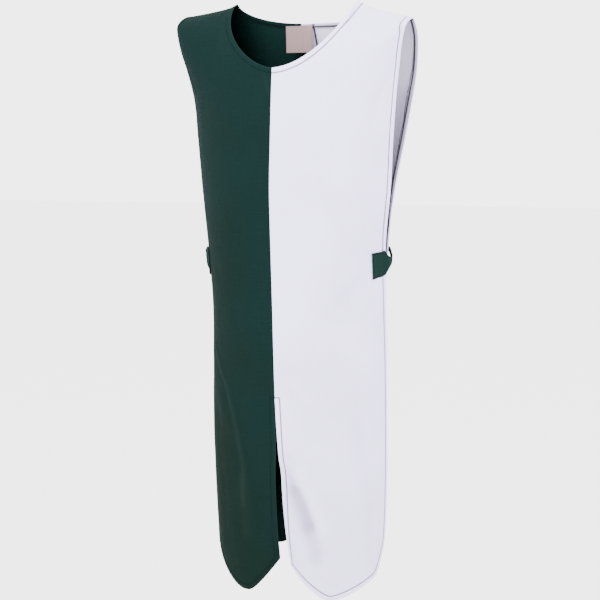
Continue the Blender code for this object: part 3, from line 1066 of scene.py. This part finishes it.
def clothMaterial(name):
    look = {**plainCloth, **cottons[name]}
    material, tree, shader = newMaterial(name, look["roughness"], look["specular"])
    flat = addNode(tree, "ShaderNodeUVMap", {"uv_map": "flat"}).outputs["UV"]
    place = addNode(tree, "ShaderNodeTexCoord").outputs["Object"]

    # the tone changes in soft patches and down the cloth, less so beside the slit; on the outside of
    # the white cloth its darkening downwards is painted shade
    patches = addNode(tree, "ShaderNodeTexNoise", None, {"Vector": place, **pattern["patches"]})
    patchShare = rescale(tree, patches.outputs["Fac"], pattern["patchRange"], pattern["patchShare"])
    height = addNode(tree, "ShaderNodeSeparateXYZ", None, {"Vector": place}).outputs["Z"]
    lowShare = rescale(tree, height, (pattern["toneFrom"], look["toneTo"]), clamp=False)
    flatX = addNode(tree, "ShaderNodeSeparateXYZ", None, {"Vector": flat}).outputs["X"]
    over = calculate(tree, "ABSOLUTE", flatX)
    atSlit = rescale(tree, over, pattern["slitRange"], (look["slitShare"], 1.0))
    slitLow = calculate(tree, "MULTIPLY", lowShare, atSlit)
    toneShare = calculate(tree, "ADD", slitLow, patchShare, clamp=True)
    colour = mixColours(tree, "MIX", toneShare, look["tone"], look["otherTone"])

    # painted shade in the troughs of the folds and a painted highlight on their ridges, and painted
    # shade on the inside away from the centre seam
    hollow = addNode(tree, "ShaderNodeAttribute", {"attribute_name": "hollow"}).outputs["Fac"]
    for most, tone in ((pattern["shadeFullAt"], look["trough"]), (pattern["highlightFullAt"], look["ridgeHighlight"])):
        colour = tint(tree, colour, rescale(tree, hollow, (0.0, most)), tone)
    sideShade = rescale(tree, over, pattern["sideRange"], (1.0, look["sideShade"]), **smooth)
    colour = mixColours(tree, "MULTIPLY", 1.0, colour, sideShade)

    # yarns: uneven threads both ways
    yarns = []
    for stretch in pattern["yarns"]:
        spread = addNode(tree, "ShaderNodeMapping", None, {"Vector": flat, "Scale": stretch})
        uneven = addNode(tree, "ShaderNodeTexNoise", {"noise_dimensions": "2D"},
                         {"Vector": spread.outputs["Vector"], "Scale": 1.0, "Detail": 1.0})
        yarns.append(uneven.outputs["Fac"])
    yarn = calculate(tree, "ADD", *yarns)
    yarnTone = rescale(tree, yarn, pattern["yarnRange"], (1 - look["yarn"], 1 + look["yarn"]))
    colour = mixColours(tree, "MULTIPLY", 1.0, colour, yarnTone)

    # the stitched line of each hem, darker, and the fold of each hem in its own tone; outside, the
    # darker line is painted shade of the stitch's groove with the thread's own grey, inside it is
    # the dark overlocked edge and seam
    away = addNode(tree, "ShaderNodeAttribute", {"attribute_name": "hemAway"}).outputs["Fac"]
    nearest = calculate(tree, "ABSOLUTE", calculate(tree, "SUBTRACT", away, look["lineAt"]))
    if look["seamLine"]:
        seamAway = addNode(tree, "ShaderNodeAttribute", {"attribute_name": "seamEdgeAway"})
        besideSeam = calculate(tree, "ABSOLUTE", seamAway.outputs["Fac"])
        nearest = calculate(tree, "MINIMUM", nearest, besideSeam)
    line = rescale(tree, nearest, (0.0, look["lineWidth"]), (1.0, 0.0), **smooth)
    colour = tint(tree, colour, line, look["line"])
    fold = rescale(tree, away, (pattern["foldFrom"], look["edgeWidth"]), (1.0, 0.0), **smooth)
    colour = tint(tree, colour, fold, look["edge"])
    tree.links.new(colour, shader.inputs["Base Color"])

    # the weave, the yarns and a slight rumple
    waves = [
        addNode(tree, "ShaderNodeTexWave", {"wave_type": "BANDS", "bands_direction": direction},
                {"Vector": flat, **pattern["weave"]}).outputs["Fac"]
        for direction in ("X", "Y")
    ]
    rumple = addNode(tree, "ShaderNodeTexNoise", None, {"Vector": place, **pattern["rumple"]})
    normal = addBump(tree, calculate(tree, "MULTIPLY", *waves), look["weave"])
    normal = addBump(tree, yarn, pattern["yarnHeight"], normal)
    normal = addBump(tree, rumple.outputs["Fac"], pattern["rumpleHeight"], normal)
    tree.links.new(normal, shader.inputs["Normal"])
    return material


# Threads: colour, roughness and gloss
threads = {
    "greenThread": ((0.0028, 0.0084, 0.0078), 0.70, 0.02),
    "whiteThread": ((0.070, 0.068, 0.090), 0.60, 0.20),
    "overlockThread": ((0.006, 0.0055, 0.007), 0.65, 0.06),
    "greenOverlock": ((0.0023, 0.0058, 0.0053), 0.70, 0.02),
    "labelThread": ((0.125, 0.085, 0.088), 0.60, 0.20),
}
spun = {
    "darker": 0.75,
    "tone": {"Scale": 260.0, "Detail": 2.0},
    "turns": {"Scale": 700.0, "Distortion": 1.0},
    "height": 0.00005,
}


def threadMaterial(name):
    # spun thread: fine turns along it, and a slight change of tone
    colour, roughness, gloss = threads[name]
    material, tree, shader = newMaterial(name, roughness, gloss)
    place = addNode(tree, "ShaderNodeTexCoord").outputs["Object"]
    tone = addNode(tree, "ShaderNodeTexNoise", None, {"Vector": place, **spun["tone"]})
    darker = tuple(spun["darker"] * part for part in colour)
    mixed = mixColours(tree, "MIX", tone.outputs["Fac"], darker, colour)
    tree.links.new(mixed, shader.inputs["Base Color"])
    bands = {"wave_type": "BANDS", "bands_direction": "DIAGONAL"}
    turns = addNode(tree, "ShaderNodeTexWave", bands, {"Vector": place, **spun["turns"]})
    tree.links.new(addBump(tree, turns.outputs["Fac"], spun["height"]), shader.inputs["Normal"])
    return material


addCamera()
addStudio()
materials = {name: clothMaterial(name) for name in cottons}
materials.update({name: threadMaterial(name) for name in threads})
# Each half: its cloth and its sewing
for halfName, half in halves.items():
    made = makeHalf(halfName)
    sewHalf(halfName)
print("halves sewn")
makeStrap("strap_left", 1)
makeStrap("strap_right", -1)
makeLabel()
print("straps and label done")
